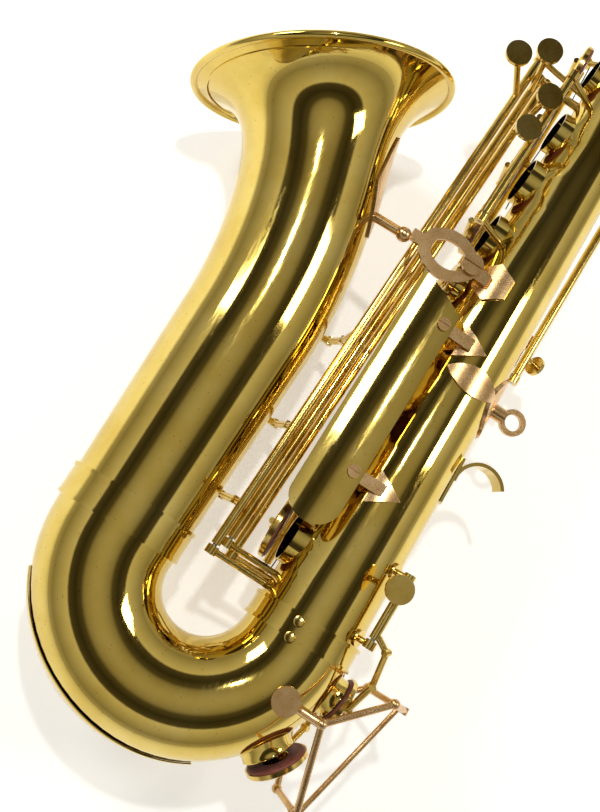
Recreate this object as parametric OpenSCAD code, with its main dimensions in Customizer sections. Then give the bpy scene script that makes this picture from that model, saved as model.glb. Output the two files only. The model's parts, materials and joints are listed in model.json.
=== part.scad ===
// Baritone saxophone: conical body, bow and bell with open-stack keywork,
// upper crook, swivelling neck and mouthpiece.
// Drawn upright: the body tube runs along +Z, the bell is on -X, the player's
// thumbs are on +X. The origin is the centre of the strap ring.

/* [Body tube] */
// Length of the conical body tube, from the bow ferrule to the upper crook
body_len = 750; // [680:10:900]
// Outer radius of the body tube at the bow
body_r_low = 35.5; // [33:0.5:38]
// Outer radius of the body tube at the upper crook
body_r_top = 16; // [14:0.5:18]
// Wall of all the brass tubes
tube_wall = 1; // [0.8:0.1:1.2]
// Height of the tone-hole chimneys above the tube
chimney_h = 4; // [4:0.5:5]

/* [Bow and bell] */
// Centre-line radius of the bow
bow_radius = 65.5; // [62:0.5:76]
// Outer radius where the bow meets the bell
bell_r_low = 40.5; // [38:0.5:42]
// Straight length of the bell tube above the bow
bell_straight = 150; // [130:5:170]
// Centre-line radius of the bell's outward lean
bell_lean_radius = 324; // [300:4:400]
// Angle of the bell's outward lean
bell_lean = 30; // [26:1:32]
// Radius of the bell at its rim
bell_rim_r = 84; // [75:1:92]
// Radius of the rolled wire in the rim
rim_wire_r = 2.5; // [2:0.1:3]
// Half-angle of the wear strip round the bow
guard_half_angle = 24; // [15:1:30]

/* [Keywork] */
// Radius of the steel hinge rods
rod_r = 1.5; // [1.2:0.1:1.7]
// Outer radius of the hinge tubes
hinge_tube_r = 3; // [2.8:0.1:3.4]
// Running clearance round the hinge rods
rod_gap = 0.05; // [0.03:0.01:0.08]
// Radius of the heads of the posts
post_head_r = 3.8; // [3.6:0.1:4]
// Radius of the key arms
arm_r = 2.1; // [1.8:0.1:2.4]
// Opening angle of the stack keys
stack_open = 12; // [8:1:13]
// Opening angle of the bell keys
bell_key_open = 6; // [4:1:7]
// Opening angle of the side, palm and bow keys
small_key_open = 9; // [6:1:10]
// Thickness of the leather pads
pad_t = 4.2; // [3.8:0.2:4.6]
// Clearance that a closed pad keeps over its chimney
pad_gap = 0.3; // [0.2:0.1:0.4]

/* [Strap ring and neck] */
// Bore radius of the strap ring
ring_bore_r = 5.5; // [4.5:0.5:6.5]
// Distance of the strap ring from the body axis
ring_offset = 48; // [47:1:54]
// Outer radius of the crook where the neck fits
crook_end_r = 12.5; // [11.5:0.5:13]
// Outer radius of the neck tenon
tenon_r = 12; // [11:0.5:12.5]
// Radius of the neck at the cork end
neck_end_r = 7.5; // [7:0.5:8.5]
// Length of the mouthpiece
mouthpiece_len = 95; // [85:5:105]

/* [Hidden] */
$fn = 48;
SIDES = 32;
SHELL_GAP = 0.05;

RING_Z = 196;
ORIGIN = [ring_offset, 0, RING_Z];
LACQUER = [0.83, 0.72, 0.36];
WORN = [0.86, 0.68, 0.52];
STEEL = [0.72, 0.72, 0.7];
LEATHER = [0.48, 0.24, 0.2];

bell_len = bell_straight + bell_lean_radius * bell_lean * PI / 180;
BELL_TAPER = 0.0225;
FLARE_LENGTH = 15;
flare = bell_rim_r - bell_r_low - BELL_TAPER * bell_len;
bore_r = rod_r + rod_gap;
cup_wall = 1;
cup_top = pad_gap + pad_t + 1.2;
arm_rise = cup_top + arm_r - 0.6;

// ---- Places on the tubes ---------------------------------------------------

function body_r(z) = body_r_low + (body_r_top - body_r_low) * z / body_len;
function dir(az) = [cos(az), sin(az), 0];
function unit(v) = v / norm(v);

// A station is [centre, outward normal, outer radius] on a tube that lies in XZ.
function bow_station(phi) = [
    [-bow_radius + bow_radius * cos(phi), 0, -bow_radius * sin(phi)],
    [cos(phi), 0, -sin(phi)],
    body_r_low + (bell_r_low - body_r_low) * phi / 180];
function bell_angle(s) = s < bell_straight ? 0 : (s - bell_straight) / bell_lean_radius * 180 / PI;
function bell_r(s) = bell_r_low + BELL_TAPER * s + flare * exp((s - bell_len) / FLARE_LENGTH);
function bell_station(s) = let (a = bell_angle(s)) [
    [-2 * bow_radius - bell_lean_radius * (1 - cos(a)), 0,
     a == 0 ? s : bell_straight + bell_lean_radius * sin(a)],
    [-cos(a), 0, -sin(a)],
    bell_r(s)];

// ---- Small building blocks -------------------------------------------------

// Ring of points round a station; the radius is changed by grow.
function ring(st, grow, sides = SIDES) = [
    for (i = [0:sides - 1]) let (a = 360 * i / sides)
        st[0] + (st[2] + grow) * (cos(a) * st[1] + sin(a) * [0, 1, 0])];

function mean(points) = [for (i = [0:len(points) - 1]) 1] * points / len(points);
function reversed(list) = [for (i = [len(list) - 1:-1:0]) list[i]];

// A ring runs anticlockwise about the way to the next one, or the list is turned round.
function turned_right(rings) =
    let (c = mean(rings[0]), q = floor(len(rings[0]) / 4), way = mean(rings[1]) - c)
    cross(rings[0][0] - c, rings[0][q] - c) * way > 0 ? rings : reversed(rings);

// Solid through rings of equal length, closed at both ends.
module loft(any_rings) {
    rings = turned_right(any_rings);
    n = len(rings[0]);
    m = len(rings);
    points = [for (r = rings) each r];
    sides = [for (i = [0:m - 2]) for (j = [0:n - 1]) let (k = (j + 1) % n)
        each [[i * n + j, (i + 1) * n + j, i * n + k], [i * n + k, (i + 1) * n + j, (i + 1) * n + k]]];
    polyhedron(points, concat(sides, [[for (j = [0:n - 1]) j]],
        [[for (j = [n - 1:-1:0]) (m - 1) * n + j]]));
}

// Hollow tube through stations, open at both ends.
module tube(any_stations, wall = tube_wall, sides = SIDES) {
    way = any_stations[1][0] - any_stations[0][0];
    stations = cross(any_stations[0][1], [0, 1, 0]) * way > 0 ? any_stations : reversed(any_stations);
    outer = [for (s = stations) each ring(s, 0, sides)];
    inner = [for (s = stations) each ring(s, -wall, sides)];
    m = len(stations);
    base = m * sides;
    walls = [for (i = [0:m - 2]) for (j = [0:sides - 1])
        let (k = (j + 1) % sides, a = i * sides, b = (i + 1) * sides)
        each [[a + j, b + j, a + k], [a + k, b + j, b + k],
              [base + a + j, base + a + k, base + b + j],
              [base + a + k, base + b + k, base + b + j]]];
    ends = [for (j = [0:sides - 1]) let (k = (j + 1) % sides, e = (m - 1) * sides)
        each [[j, k, base + j], [k, base + k, base + j],
              [e + j, base + e + j, e + k], [e + k, base + e + j, base + e + k]]];
    polyhedron(concat(outer, inner), concat(walls, ends));
}

// Children placed at p with their +Z along v.
module aim(p, v) {
    u = unit(v);
    translate(p) rotate([0, acos(u[2]), atan2(u[1], u[0])]) children();
}

// Round bar from p to q.
module strut(p, q, r = arm_r) {
    aim(p, q - p) cylinder(h = norm(q - p), r = r);
}

// Round bar that bends at each point of a list.
module wire(points, r = arm_r) {
    for (i = [0:len(points) - 2]) {
        strut(points[i], points[i + 1], r);
        // A knuckle across the bend closes it.
        if (i > 0) let (n = unit(cross(points[i] - points[i - 1], points[i + 1] - points[i])))
            aim(points[i] - 1.1 * r * n, n) cylinder(h = 2.2 * r, r = 1.12 * r);
    }
}

// Children turned by an angle about the line from p to q.
module swing(p, q, angle) {
    translate(p) rotate(a = angle, v = q - p) translate(-p) children();
}

module outer_cone(grow = 0) {
    translate([0, 0, -1])
        cylinder(h = body_len + 2, r1 = body_r(-1) + grow, r2 = body_r(body_len + 1) + grow);
}

// Band of sheet wrapped on the body tube between two heights.
module body_band(z0, z1, t) {
    difference() {
        translate([0, 0, z0]) cylinder(h = z1 - z0, r1 = body_r(z0) + t, r2 = body_r(z1) + t);
        outer_cone();
    }
}

// Washer-shaped length of pipe, bored through.
module pipe(h, r_out, r_in) {
    difference() {
        cylinder(h = h, r = r_out);
        translate([0, 0, -1]) cylinder(h = h + 2, r = r_in);
    }
}

// ---- Tables of the keywork -------------------------------------------------

// Stack keys: [name, height, cup radius, drawn open].
STACK_LOW = [["low_d", 57, 22, true], ["e", 106, 21.5, true],
             ["f", 155, 21, true], ["f_sharp", 203, 20.5, true]];
STACK_HIGH = [["g_sharp", 252, 14, false], ["g", 293.5, 19.5, true], ["a", 340, 20, true],
              ["b", 382, 18.5, true], ["c", 432, 16, true]];
STACK_AZ = 180;
low_hinge = [-37, 30, 0];
high_hinge = [-31, 27, 0];
LOW_SPLITS = [31, 81.5, 130.5, 179, 227];
HIGH_SPLITS = [238, 271, 317, 364, 410, 452];
JOIN = 0.3;
post_gap = post_head_r + JOIN;
LOW_POSTS = [27, 130.5, 230.5];
HIGH_POSTS = [241.5, 364, 455];

// Bell keys: [name, height of the cup, cup radius, foot and head of the hinge].
BELL_KEYS = [
    ["low_cs", 58, 19, [-62, 4, 30.4], [-51, 4, 404.9], false],
    ["low_b", 118, 23, [-69, -4, 34.8], [-58, -4, 400.6], true],
    ["low_bb", 186, 25, [-76, -12, 26], [-65, -12, 409.2], true]];

// Bow keys: [name, angle on the bow, cup radius, hinge place, lower and upper end].
EB_PHI = 8;
C_PHI = 36;

// Side, palm and octave keys on the body:
// [name, cup height, cup azimuth, cup radius, hinge azimuth, lower end, upper end].
SIDE_KEYS = [["side_bb", 500, 70, 10, 28, 232, 506], ["side_c", 466, 82, 10, 48, 236, 472]];
PALM_KEYS = [["palm_d", 574, -60, 11, -92, 556, 592], ["palm_eb", 618, -75, 10.5, -108, 600, 636],
             ["palm_f", 662, -90, 10, -124, 644, 680]];
SIDE_REACH = 15;
PALM_REACH = 13;
function hinge_at(az, reach, z) = (body_r(z) + reach) * dir(az);
function hole_r(cup_r) = cup_r - 4.5;

// ---- Tone holes ------------------------------------------------------------

BODY_HOLES = concat(
    [for (k = concat(STACK_LOW, STACK_HIGH)) [k[1], STACK_AZ, hole_r(k[2])]],
    [for (k = concat(SIDE_KEYS, PALM_KEYS)) [k[1], k[2], hole_r(k[3])]]);

module at_surface(z, az) {
    translate([0, 0, z]) rotate([0, 0, az]) rotate([0, 90, 0]) children();
}

module body_tube() {
    color(LACQUER) difference() {
        union() {
            cylinder(h = body_len, r1 = body_r_low, r2 = body_r_top);
            for (h = BODY_HOLES) at_surface(h[0], h[1])
                cylinder(h = body_r(h[0]) + chimney_h, r = h[2] + tube_wall);
        }
        translate([0, 0, -1])
            cylinder(h = body_len + 2, r1 = body_r(-1) - tube_wall, r2 = body_r(body_len + 1) - tube_wall);
        for (h = BODY_HOLES) at_surface(h[0], h[1])
            cylinder(h = body_r(h[0]) + chimney_h + 1, r = h[2]);
    }
}

// Chimney on a station's outward side, or at the side of the bell.
BOW_CHIMNEY = 5;
module chimney(p, v, base, r) {
    aim(p, v) translate([0, 0, base - 6]) cylinder(h = 6 + BOW_CHIMNEY, r = r + tube_wall);
}
module chimney_bore(p, v, base, r) {
    aim(p, v) translate([0, 0, base - 12]) cylinder(h = 14 + BOW_CHIMNEY, r = r);
}

BOW_HOLES = [[EB_PHI, hole_r(17)], [C_PHI, hole_r(20)]];

module bow() {
    color(LACQUER) difference() {
        union() {
            tube([for (i = [0:18]) bow_station(i * 10)]);
            for (h = BOW_HOLES) let (st = bow_station(h[0])) difference() {
                chimney(st[0], st[1], st[2], h[1]);
                loft([for (i = [-1:6]) ring(bow_station(i * 10), -tube_wall / 2)]);
            }
        }
        for (h = BOW_HOLES) let (st = bow_station(h[0])) chimney_bore(st[0], st[1], st[2], h[1]);
    }
}

BELL_STEPS = [for (s = [0:30:210]) s, for (f = [0.74, 0.82, 0.88, 0.92, 0.95, 0.97, 0.985, 1])
    max(f * bell_len, 211 + f)];

module bell() {
    last = bell_station(bell_len);
    color(LACQUER) difference() {
        union() {
            tube([for (s = BELL_STEPS) bell_station(s)]);
            for (k = BELL_KEYS) let (st = bell_station(k[1])) difference() {
                chimney(st[0], [0, 1, 0], st[2], hole_r(k[2]));
                loft([for (s = [-10:40:230]) ring(bell_station(s), -tube_wall / 2)]);
            }
            aim(last[0], [last[1][2], 0, -last[1][0]])
                rotate_extrude() translate([bell_rim_r, 0]) circle(rim_wire_r);
        }
        for (k = BELL_KEYS) let (st = bell_station(k[1]))
            chimney_bore(st[0], [0, 1, 0], st[2], hole_r(k[2]));
    }
}

// ---- Ferrules, wear strip, braces ------------------------------------------

FERRULE_T = 1.6;
BODY_FERRULE = [2, 18];
BELL_FERRULE = [3, 24];

module ferrules() {
    color(LACQUER) {
        difference() {
            union() {
                body_band(BODY_FERRULE[0], BODY_FERRULE[1], FERRULE_T);
                for (z = [BODY_FERRULE[0], BODY_FERRULE[1] - 2.4])
                    body_band(z, z + 2.4, FERRULE_T + 0.8);
            }
        }
        translate([-2 * bow_radius, 0, 0]) for (z = [BELL_FERRULE[0], BELL_FERRULE[1] - 2.4])
            translate([0, 0, z]) pipe(2.4, bell_r(z) + FERRULE_T + 0.8, bell_r(z + 2.4) + SHELL_GAP);
        translate([-2 * bow_radius, 0, BELL_FERRULE[0] + 2.4])
            pipe(BELL_FERRULE[1] - BELL_FERRULE[0] - 4.8, bell_r(20) + FERRULE_T, bell_r(24) + SHELL_GAP);
        translate([0, 0, body_len - 14]) difference() {
            cylinder(h = 14, r = body_r(body_len - 14) + 1.6);
            translate([0, 0, 14 - body_len]) outer_cone();
        }
    }
}

// Arc-shaped ring section of sheet on a station, for strips and foot plates.
function strip(st, half, t, n = 8) = concat(
    [for (i = [0:n]) let (a = -half + 2 * half * i / n)
        st[0] + (st[2] + t) * (cos(a) * st[1] + sin(a) * [0, 1, 0])],
    [for (i = [n:-1:0]) let (a = -half + 2 * half * i / n)
        st[0] + (st[2] + 2 * SHELL_GAP) * (cos(a) * st[1] + sin(a) * [0, 1, 0])]);

GUARD_FROM = 62;
GUARD_TO = 156;
module bow_guard() {
    // The half angle narrows at both ends, so that the strip ends in a point.
    span = GUARD_TO - GUARD_FROM;
    color(LACQUER) loft([for (i = [0:20]) let (f = i / 20)
        strip(bow_station(GUARD_FROM + span * f), guard_half_angle * (0.35 + 0.65 * sin(180 * f)), 1.5)]);
}

BRACE_Z = 257;
brace_y = -25;
brace_bell = [-81, brace_y, BRACE_Z - 5];
brace_body = [-17, brace_y, BRACE_Z + 2];

module ring_plate(outer, inner, t) {
    linear_extrude(t) difference() {
        outer_outline(outer);
        outer_outline(inner);
    }
}
// Shield-like outline, wider at the bell side.
module outer_outline(r) {
    intersection() {
        translate([0, 8]) circle(r * 1.35);
        translate([0, -8]) circle(r * 1.35);
        translate([6, 0]) circle(r * 1.45);
    }
}

module bell_brace() {
    st = bell_station(BRACE_Z + 3);
    toward = unit(brace_bell - st[0]);
    color(WORN) {
        translate([-50, brace_y + 1.5, BRACE_Z]) rotate([90, 0, 0]) difference() {
            union() {
                ring_plate(18, 12.5, 3);
                translate([19, -3.5, 0]) cube([12, 8, 3]);
                translate([-27, -5.5, 0]) cube([10, 8, 3]);
            }
            translate([16, 3, -1]) cylinder(h = 5, r = brace_screw_r + 0.2);
        }
        strut(brace_bell, st[0] + toward * (st[2] + 2.7), 3.2);
        translate(brace_bell) rotate([20, 30, 0]) sphere(5);
        difference() {
            aim(brace_body + [2, 0, 0], [-brace_body[0], -brace_body[1], 0]) cylinder(h = 20, r = 6);
            outer_cone();
        }
        intersection() {
            body_band(BRACE_Z - 14, BRACE_Z + 18, 1.5);
            aim([0, 0, brace_body[2]], [brace_body[0], brace_body[1], 0]) cylinder(h = 60, r = 14, $fn = 6);
        }
        brace_foot(st, toward);
    }
}

// Kite-shaped foot plate, soldered to the bell.
FOOT_SPAN = 30;
module brace_foot(st, toward) {
    side = atan2(toward[1], toward[0]);
    mid = BRACE_Z + 3;
    loft([for (i = [-6:6]) let (
            s = mid + FOOT_SPAN * i / 6,
            f = 1 - abs(i) / 6.6,
            here = bell_station(s),
            turned = [here[0], here[1], here[2]])
        [for (j = [0:6], k = [0]) let (a = 180 + side + 17 * f * (j - 3) / 3)
            turned[0] + (turned[2] + 1.5) * (cos(a) * turned[1] + sin(a) * [0, -1, 0])
        , for (j = [6:-1:0]) let (a = 180 + side + 17 * f * (j - 3) / 3)
            turned[0] + (turned[2] + 0.14) * (cos(a) * turned[1] + sin(a) * [0, -1, 0])]]);
}

brace_screw_r = 2.5;
module brace_screw() {
    color(WORN) translate([-34, brace_y - 1.6, BRACE_Z + 3]) rotate([90, 0, 0]) difference() {
        union() {
            cylinder(h = 3.4, r = 7);
            translate([0, 0, -8]) cylinder(h = 8.2, r = brace_screw_r);
        }
        translate([-8, -0.7, 2.2]) cube([16, 1.4, 2]);
    }
}

// ---- Cover plate -----------------------------------------------------------

COVER_CENTRE = [-27, 12];
COVER_R = 48;
COVER_T = 1.4;
COVER_Z = [65, 241];
COVER_FEET = [106, 214];
COVER_SCREW_X = -31;

module cover_outline() {
    hull_w = 33;
    translate([-41, COVER_Z[0] + hull_w / 2]) circle(hull_w / 2);
    translate([-41 - hull_w / 2, COVER_Z[0] + hull_w / 2])
        polygon([[0, 0], [hull_w, 0], [hull_w, COVER_Z[1] - COVER_Z[0] - 34],
                 [0, COVER_Z[1] - COVER_Z[0] - hull_w / 2]]);
}

module cover_plate() {
    color(LACQUER) difference() {
        intersection() {
            translate([COVER_CENTRE[0], COVER_CENTRE[1], COVER_Z[0] - 5])
                pipe(COVER_Z[1] - COVER_Z[0] + 10, COVER_R, COVER_R - COVER_T);
            rotate([90, 0, 0]) linear_extrude(60) cover_outline();
        }
        for (z = COVER_FEET) translate([COVER_SCREW_X, 0, z]) rotate([90, 0, 0]) cylinder(h = 60, r = 2.1);
    }
}

module cover_feet() {
    // The bar's face clears the inside of the curved plate.
    y = COVER_CENTRE[1] - COVER_R + COVER_T + 1.4;
    color(LACQUER) for (z = COVER_FEET) {
        difference() {
            translate([COVER_SCREW_X - 5, y, z - 4]) cube([28, 3, 8]);
            outer_cone();
            translate([COVER_SCREW_X, 0, z]) rotate([90, 0, 0]) cylinder(h = 60, r = 2.1);
        }
        intersection() {
            body_band(z - 20, z + 20, 1.4);
            translate([-9, -10, z]) rotate([90, 0, 0]) cylinder(h = 40, r = 13, $fn = 3);
        }
    }
}

module cover_screws() {
    color(WORN) for (z = COVER_FEET)
        translate([COVER_SCREW_X, COVER_CENTRE[1] - COVER_R - 0.2, z]) rotate([90, 0, 0]) difference() {
            union() {
                cylinder(h = 1.8, r = 4.2);
                translate([0, 0, -5]) cylinder(h = 5.1, r = 1.9);
            }
            translate([-5, -0.5, 1]) cube([10, 1, 2]);
        }
}

// ---- Strap ring, thumb hook and rest, table ---------------------------------

RING_T = 3.5;
ring_wall = 3.5;
module strap_ring_bridge() {
    color(WORN) {
        intersection() {
            body_band(RING_Z - 26, RING_Z + 26, 1.8);
            union() {
                translate([0, 0, RING_Z]) rotate([0, 90, 0]) cylinder(h = 60, r = 22);
                // Leaf-shaped legs: the overlap of two circles.
                for (side = [-1, 1]) rotate([90 * side, 0, 0]) linear_extrude(60) intersection() {
                    translate([6, RING_Z * side + 19]) circle(28);
                    translate([6, RING_Z * side - 19]) circle(28);
                }
            }
        }
        difference() {
            union() {
                translate([0, 0, RING_Z]) rotate([0, 90, 0]) cylinder(h = ring_offset - ring_bore_r - 1, r = 5);
                translate([ring_offset, RING_T / 2, RING_Z]) rotate([90, 0, 0]) cylinder(h = RING_T, r = ring_bore_r + ring_wall);
            }
            outer_cone();
            translate([ring_offset, 20, RING_Z]) rotate([90, 0, 0]) cylinder(h = 40, r = ring_bore_r);
        }
    }
}

HOOK_Z = [124, 156];
module thumb_hook() {
    mid = (HOOK_Z[0] + HOOK_Z[1]) / 2 + 4;
    reach = 17;
    color(LACQUER) {
        intersection() {
            body_band(HOOK_Z[0], HOOK_Z[1], 1.6);
            translate([0, -12, HOOK_Z[0]]) cube([60, 24, HOOK_Z[1] - HOOK_Z[0]]);
        }
        difference() {
            translate([body_r(mid) + reach, 0, mid]) rotate([90, 0, 0]) rotate([0, 0, 30])
                rotate_extrude(angle = 160) translate([reach - 1.5, -8]) square([2.4, 16]);
            outer_cone(0.8);
        }
    }
}

REST_Z = 486;
module thumb_rest() {
    color("#2b2523") difference() {
        translate([0, 0, REST_Z]) rotate([0, 0, -30]) rotate([0, 90, 0]) cylinder(h = body_r(REST_Z) + 4, r = 10);
        outer_cone();
    }
}

// ---- Posts and rods ---------------------------------------------------------

module post_head(p, way) {
    aim(p - 2.8 * unit(way), way) cylinder(h = 5.6, r = post_head_r);
}

// Post on the body: barrel head at p, stem, and a round foot where there is room for one.
module post(p, foot_r, way = [0, 0, 1]) {
    out = [p[0], p[1], 0];
    difference() {
        union() {
            post_head(p, way);
            aim([0, 0, p[2]], out) cylinder(h = norm(out) - 1, r = 2.1);
            if (foot_r > 0) aim([0, 0, p[2]], out) cylinder(h = body_r(p[2]) + 1.4, r = foot_r);
        }
        outer_cone();
        aim(p - 6 * unit(way), way) cylinder(h = 12, r = bore_r);
    }
}

EB_HINGE = [34, -28, 0];
C_HINGE = [34, 28, 0];
EB_Z = [28, 66];
C_Z = [28, 132];
LEVER_HINGE = [[-46, -36, 290], [-44, -36, 398]];
// Bends of the arms, from the hinge to the back of the cup.
EB_ROUTE = [[44, -33, 25], [50, -22, 4]];
C_ROUTE = [[43, 34, 25], [44, 32, 0], [40, 27, -40]];
OCTAVE_HINGE = [30, -26, 0];
OCTAVE_Z = [470, 550];

function post_list() = concat(
    [for (z = LOW_POSTS) low_hinge + [0, 0, z]],
    [for (z = HIGH_POSTS) high_hinge + [0, 0, z]],
    [for (k = SIDE_KEYS) for (z = [k[5] - post_gap, k[6] + post_gap]) hinge_at(k[4], SIDE_REACH, k[5]) + [0, 0, z]],
    [for (k = PALM_KEYS) for (z = [k[5] - post_gap, k[6] + post_gap]) hinge_at(k[4], PALM_REACH, k[5]) + [0, 0, z]],
    [for (z = [EB_Z[0] - post_gap, EB_Z[1] + post_gap]) EB_HINGE + [0, 0, z]],
    [for (z = [C_Z[0] - post_gap, C_Z[1] + post_gap]) C_HINGE + [0, 0, z]],
    [for (z = [OCTAVE_Z[0] - post_gap, OCTAVE_Z[1] + post_gap]) OCTAVE_HINGE + [0, 0, z]]);

// Long hinges of the bell keys and the G sharp lever: their posts stand on the body.
LONG_HINGES = concat([for (k = BELL_KEYS) [k[3], k[4]]], [LEVER_HINGE]);

function along(a, b, d) = a + unit(b - a) * d;

function long_ends(h) = [for (d = [-post_gap, norm(h[1] - h[0]) + post_gap]) along(h[0], h[1], d)];

module posts() {
    color(LACQUER) {
        for (p = post_list()) post(p, 5.5);
        for (h = LONG_HINGES) for (p = long_ends(h)) post(p, 0, h[1] - h[0]);
    }
}

module rod(a, b) {
    strut(along(a, b, -7), along(b, a, -7), rod_r);
}

module hinge_rods() {
    color(STEEL) {
        rod(low_hinge + [0, 0, LOW_POSTS[0] + 3], low_hinge + [0, 0, LOW_POSTS[2] - 3]);
        rod(high_hinge + [0, 0, HIGH_POSTS[0] + 4], high_hinge + [0, 0, HIGH_POSTS[2] - 4]);
        for (k = SIDE_KEYS) let (h = hinge_at(k[4], SIDE_REACH, k[5])) rod(h + [0, 0, k[5]], h + [0, 0, k[6]]);
        for (k = PALM_KEYS) let (h = hinge_at(k[4], PALM_REACH, k[5])) rod(h + [0, 0, k[5]], h + [0, 0, k[6]]);
        rod(EB_HINGE + [0, 0, EB_Z[0]], EB_HINGE + [0, 0, EB_Z[1]]);
        rod(C_HINGE + [0, 0, C_Z[0]], C_HINGE + [0, 0, C_Z[1]]);
        rod(OCTAVE_HINGE + [0, 0, OCTAVE_Z[0]], OCTAVE_HINGE + [0, 0, OCTAVE_Z[1]]);
        for (h = LONG_HINGES) rod(h[0], h[1]);
    }
}

// ---- Key cups ----------------------------------------------------------------

// Cup with its open side down; z = 0 is the plane of the chimney's lip.
module cup(r) {
    difference() {
        rotate_extrude() polygon([
            [0, 1.6], [r, 1.6], [r, cup_top - 1.2], [r - 1.4, cup_top - 0.2], [r * 0.55, cup_top],
            [r * 0.5, cup_top + 0.7], [r * 0.3, cup_top + 0.7], [r * 0.26, cup_top], [0, cup_top]]);
        cylinder(h = pad_gap + pad_t, r = r - cup_wall);
    }
}

module pad(r) {
    translate([0, 0, pad_gap]) cylinder(h = pad_t, r = r - cup_wall - 0.15);
}

// Small cup and its pad as one solid.
module filled_cup(r) {
    pad_r = r - cup_wall - 0.15;
    rotate_extrude() polygon([
        [0, pad_gap], [pad_r, pad_gap], [pad_r, 1.6], [r, 1.6], [r, cup_top - 1.2],
        [r - 1.4, cup_top - 0.2], [r * 0.55, cup_top], [0, cup_top]]);
}

// Key body: hinge tube from a to b and children, with the rod's bore kept open.
module on_hinge(a, b) {
    difference() {
        union() {
            strut(a, b, hinge_tube_r);
            children();
        }
        strut(along(a, b, -1), along(b, a, -1), bore_r);
    }
}

// One key of the stack: part "key" or "pad".
module stack_key(k, hinge, z0, z1, part) {
    plane = body_r(k[1]) + chimney_h;
    p = hinge + [0, 0, z0];
    q = hinge + [0, 0, z1];
    back = -plane - arm_rise;
    edge = hinge[1] - 7;
    swing(p, q, k[3] ? -stack_open : 0)
        if (part == "pad") color(LEATHER) at_surface(k[1], STACK_AZ) translate([0, 0, plane]) pad(k[2]);
        else color(LACQUER) on_hinge(p, q) {
            at_surface(k[1], STACK_AZ) translate([0, 0, plane]) cup(k[2]);
            // The arm springs from the tube and runs over the cup to its far side.
            wire([hinge + [0, 0, k[1]], [back, edge, k[1]], [back, -k[2] * 0.45, k[1]]], arm_r);
        }
}

function split_ends(splits, posts_at, i) = [
    splits[i] + (len([for (p = posts_at) if (abs(p - splits[i]) < 5) p]) > 0 ? post_gap : JOIN / 2),
    splits[i + 1] - (len([for (p = posts_at) if (abs(p - splits[i + 1]) < 5) p]) > 0 ? post_gap : JOIN / 2)];

module low_stack(i, part) {
    e = split_ends(LOW_SPLITS, LOW_POSTS, i);
    stack_key(STACK_LOW[i], low_hinge, e[0], e[1], part);
}
module high_stack(i, part) {
    e = split_ends(HIGH_SPLITS, HIGH_POSTS, i);
    stack_key(STACK_HIGH[i], high_hinge, e[0] + (i == 0 ? 3.5 : 0), e[1] - (i == 4 ? 1.5 : 0), part);
}

// Bell key: the cup is on the far side of the bell, the touch at the table.
TABLE = [[-51, -46, 376], [-62, -46, 402], [-79, -46, 389]];
TOUCH_R = 8.5;
module bell_key(i, part) {
    k = BELL_KEYS[i];
    a = k[3];
    b = k[4];
    st = bell_station(k[1]);
    y = st[2] + BOW_CHIMNEY;
    turn = k[5] ? -bell_key_open : 0;
    from = along(a, b, k[1] - a[2]);
    swing(a, b, turn)
        if (part == "pad") color(LEATHER) aim(st[0] + [0, y, 0], [0, 1, 0]) pad(k[2]);
        else color(LACQUER) on_hinge(a, b) {
            aim(st[0] + [0, y, 0], [0, 1, 0]) cup(k[2]);
            wire([from, [-76, 26, k[1]], [-84, 47, k[1]], [-104, y + arm_rise, k[1]],
                  [st[0][0] - k[2] * 0.4, y + arm_rise, k[1]]], arm_r + 0.4);
            touch_arm(along(a, b, TABLE[i][2] - a[2] - 8), TABLE[i]);
        }
}

// Arm and flat touch plate.
module touch_arm(from, at, r = TOUCH_R) {
    strut(from, at + [0, 3, 0], arm_r);
    translate(at) rotate([90, 0, 0]) translate([0, 0, -3]) cylinder(h = 3, r = r);
}

module g_sharp_lever() {
    a = LEVER_HINGE[0];
    b = LEVER_HINGE[1];
    color(LACQUER) on_hinge(a, b) {
        touch_arm(along(a, b, 60), [-52, -46, 350]);
    }
}

// Low E flat and low C keys on the outside of the bow.
module bow_key(phi, r, hinge, zs, closed, route, part) {
    st = bow_station(phi);
    p = hinge + [0, 0, zs[0]];
    q = hinge + [0, 0, zs[1]];
    side = sign(hinge[1]);
    lip = st[0] + st[1] * (st[2] + BOW_CHIMNEY);
    back = lip + st[1] * arm_rise;
    swing(p, q, closed ? 0 : side * small_key_open)
        if (part == "pad") color(LEATHER) aim(lip, st[1]) pad(r);
        else color(LACQUER) on_hinge(p, q) {
            aim(lip, st[1]) cup(r);
            wire(concat([p + [0, 0, 4]], route,
                [back + [0, side * r * 0.75, 0], back - [0, side * r * 0.4, 0]]), arm_r);
            strut(q - [0, 0, 6], q + [-6, side * 16, -6], arm_r);
            translate(q + [-6, side * 19, -6]) rotate([90 * side, 0, 0]) cylinder(h = 3, r = 9);
        }
}

// Key on the body tube: cup at azimuth az, hinge at azimuth hinge_az.
module body_key(k, reach, touch) {
    h = hinge_at(k[4], reach, k[5]);
    p = h + [0, 0, k[5]];
    q = h + [0, 0, k[6]];
    plane = body_r(k[1]) + chimney_h;
    top = plane + arm_rise;
    color(LACQUER) on_hinge(p, q) {
        at_surface(k[1], k[2]) translate([0, 0, plane]) filled_cup(k[3]);
        wire([h + [0, 0, k[1]], top * 1.04 * dir((k[2] * 0.6 + k[4] * 0.4)) + [0, 0, k[1]],
              top * dir(k[2]) + [0, 0, k[1]]], arm_r);
        strut(h + [0, 0, touch[0]], h + [0, 0, touch[0]] + (touch[1] * 0.7 + 1) * dir(k[4]), arm_r);
        translate(h + [0, 0, touch[0]] + touch[1] * dir(k[4]) * 0.7)
            aim([0, 0, 0], dir(k[4])) cylinder(h = 2.4, r = touch[2]);
    }
}

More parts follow.
